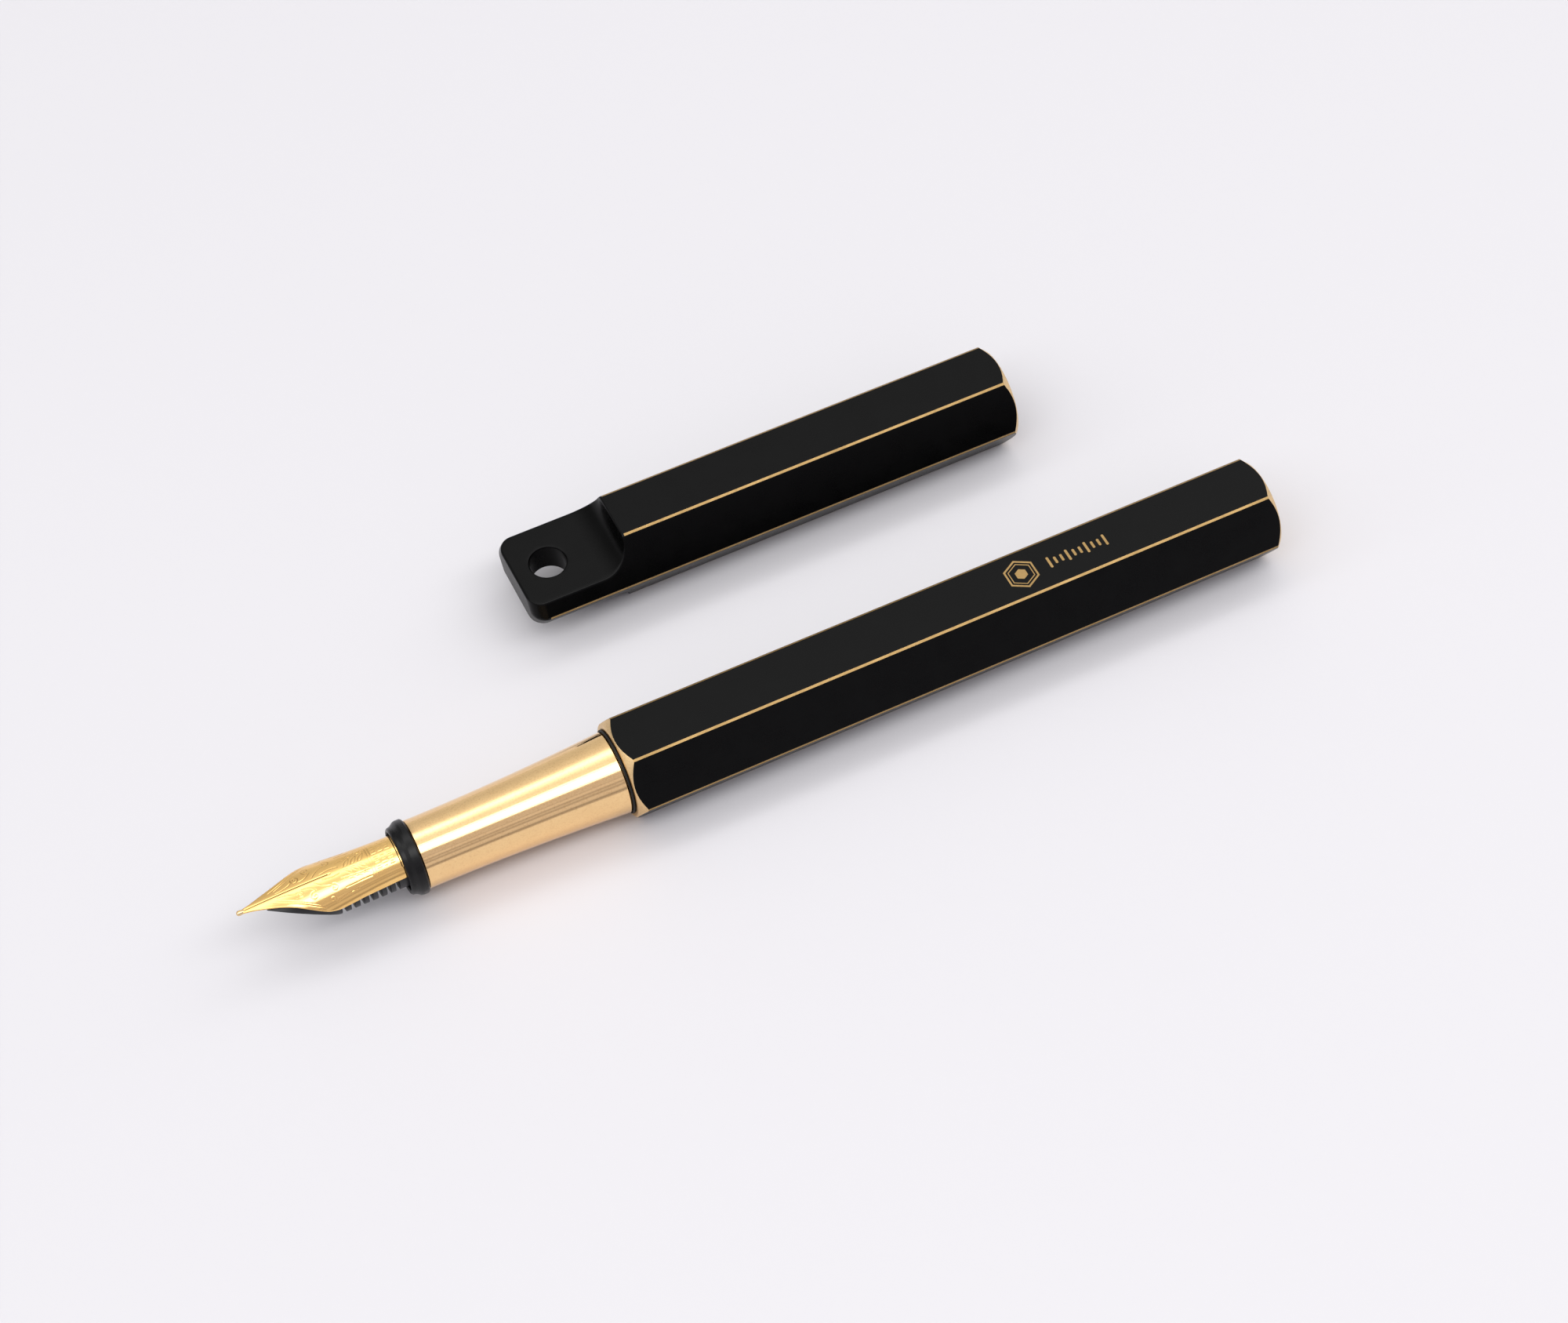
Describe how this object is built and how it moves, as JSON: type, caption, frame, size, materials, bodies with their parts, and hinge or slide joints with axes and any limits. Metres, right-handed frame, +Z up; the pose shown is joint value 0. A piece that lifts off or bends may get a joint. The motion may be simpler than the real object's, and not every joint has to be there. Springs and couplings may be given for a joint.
{
  "type": "fountain pen",
  "caption": "Hexagonal brass fountain pen in satin black lacquer, with a turned brass grip, gold nib, screw-off barrel over a piston converter, and a push-on cap ending in a lanyard tab.",
  "frame": {"origin": "centre of the barrel's resting flat, on the surface the pen lies on", "axes": "+X along the pen from the nib to the closed end of the barrel, +Z up, the uncapped cap lies parallel to the pen on its +Y side"},
  "size_m": [0.1244, 0.041, 0.011],
  "materials": {
    "lacquered_brass": "satin black lacquer, bare brass on the long edges and end chamfers",
    "polished_brass": "polished",
    "gold_plate": "polished, engraved",
    "tipping_alloy": "polished",
    "black_plastic": "semi-gloss",
    "feed_plastic": "satin",
    "clear_plastic": "clear",
    "black_rubber": "matt",
    "chrome_band": "polished"
  },
  "bodies": {
    "grip": {"grip_section": "polished_brass"},
    "cap": {"cap_shell": "lacquered_brass", "cap_liner": "black_plastic"},
    "o_ring": {"grip_o_ring": "black_rubber"},
    "barrel": {"barrel_shell": "lacquered_brass"},
    "nib_unit": {"nib_housing": "black_plastic"},
    "nib_feed": {"nib": "gold_plate", "nib_tipping": "tipping_alloy", "feed": "feed_plastic"},
    "converter": {"converter_tube": "clear_plastic", "converter_guide": "black_plastic", "converter_ferrule": "chrome_band"},
    "knob": {"converter_knob": "black_plastic", "converter_spindle": "black_plastic"},
    "piston": {"piston_rod": "black_plastic", "piston_head": "clear_plastic", "piston_seal": "black_rubber"}
  },
  "joints": [
    {"name": "cap_slide", "type": "slide", "parent": "grip", "child": "cap", "axis": [-0.9828, -0.1849, 0], "range_m": [0, 0.15467]},
    {"name": "barrel_unscrew", "type": "hinge", "parent": "grip", "child": "o_ring", "pos_m": [-0.04025, 0, 0.0055], "axis": [1, 0, 0], "range_deg": [0, 3960]},
    {"name": "barrel_pull", "type": "slide", "parent": "o_ring", "child": "barrel", "axis": [1, 0, 0], "range_m": [0, 0.075]},
    {"name": "nib_unit_unscrew", "type": "hinge", "parent": "grip", "child": "nib_unit", "pos_m": [-0.0641, 0, 0.0055], "axis": [-1, 0, 0], "range_deg": [0, 2160]},
    {"name": "nib_pull", "type": "slide", "parent": "nib_unit", "child": "nib_feed", "axis": [-1, 0, 0], "range_m": [0, 0.012]},
    {"name": "converter_pull", "type": "slide", "parent": "grip", "child": "converter", "axis": [1, 0, 0], "range_m": [0, 0.012]},
    {"name": "knob_turn", "type": "hinge", "parent": "converter", "child": "knob", "pos_m": [0, 0, 0.0055], "axis": [-1, 0, 0], "range_deg": [0, 2880]},
    {"name": "piston_travel", "type": "slide", "parent": "converter", "child": "piston", "axis": [1, 0, 0], "range_m": [0, 0.024]}
  ],
  "couplings": [
    {"joint": "knob_turn", "follows": "piston_travel", "rad_per_m": 2094.4}
  ]
}
